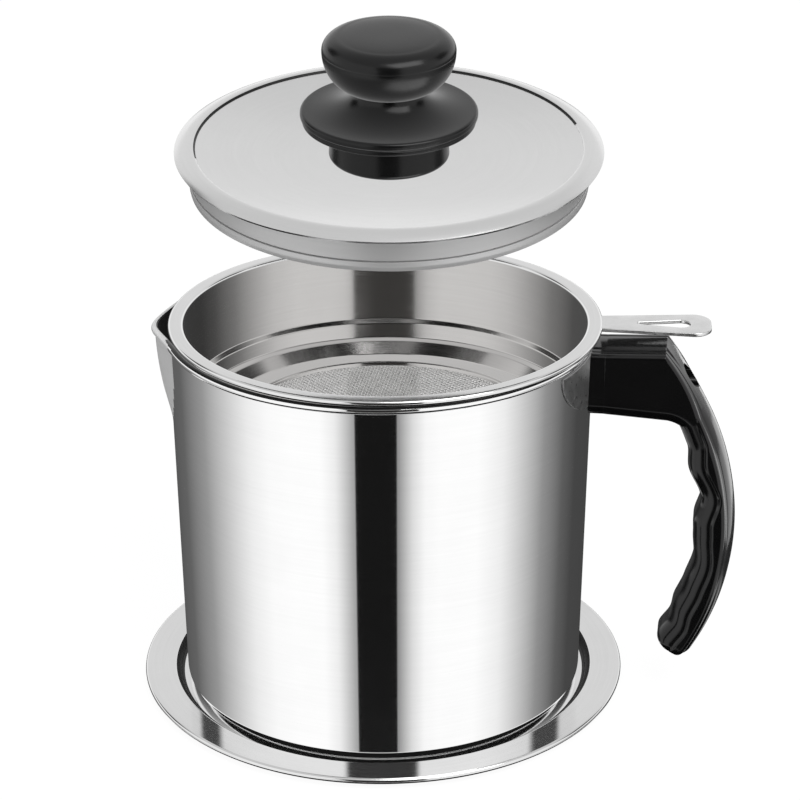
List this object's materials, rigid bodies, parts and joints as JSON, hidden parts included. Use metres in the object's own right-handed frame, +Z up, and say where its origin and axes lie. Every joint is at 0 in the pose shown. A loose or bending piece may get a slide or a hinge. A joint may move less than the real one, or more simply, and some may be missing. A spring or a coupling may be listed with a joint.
{
  "type": "oil strainer pot",
  "caption": "Steel grease pot on a drip tray, with a pouring spout, a lift-out mesh strainer, a loose lid with a mushroom knob and a black moulded handle.",
  "frame": {"origin": "centre of the underside of the tray, on the pot's axis, where it rests on a worktop", "axes": "+Z up along the pot's axis, +X from the axis towards the handle, so the spout points along -X, and +Y completes a right-handed frame"},
  "size_m": [0.1861, 0.1526, 0.2114],
  "materials": {
    "polished_steel": "mirror polished",
    "brushed_steel": "brushed round the axis",
    "satin_lid_steel": "satin",
    "mesh_wire": "fine woven wire",
    "screw_steel": "plain machined",
    "insert_brass": "plain machined",
    "handle_plastic": "glossy black",
    "knob_plastic": "satin black"
  },
  "bodies": {
    "tray": {"tray": "polished_steel"},
    "pot": {"pot_body": "polished_steel", "saddle_plate": "brushed_steel", "saddle_boss": "screw_steel", "handle_ferrule": "handle_plastic", "handle_grip": "handle_plastic", "handle_screw": "screw_steel", "handle_washer": "screw_steel"},
    "strainer": {"strainer_cup": "brushed_steel", "mesh_clamp": "brushed_steel", "strainer_mesh": "mesh_wire", "mesh_frame": "brushed_steel", "strainer_tab": "brushed_steel"},
    "lid": {"lid_plate": "satin_lid_steel", "lid_skirt": "satin_lid_steel", "knob_collar": "knob_plastic", "knob_base_ring": "knob_plastic", "knob_grip": "knob_plastic", "knob_insert": "insert_brass", "knob_washer": "screw_steel", "knob_screw": "screw_steel"}
  },
  "joints": [
    {"name": "pot_lift", "type": "slide", "parent": "tray", "child": "pot", "axis": [0, 0, 1], "range_m": [0, 0.06]},
    {"name": "strainer_lift", "type": "slide", "parent": "pot", "child": "strainer", "axis": [0, 0, 1], "range_m": [0, 0.09]},
    {"name": "lid_lift", "type": "hinge", "parent": "strainer", "child": "lid", "pos_m": [0.07847, -0.44504, 0.12145], "axis": [0.9836, 0.1734, -0.0488], "range_deg": [-6.82, 9]}
  ]
}
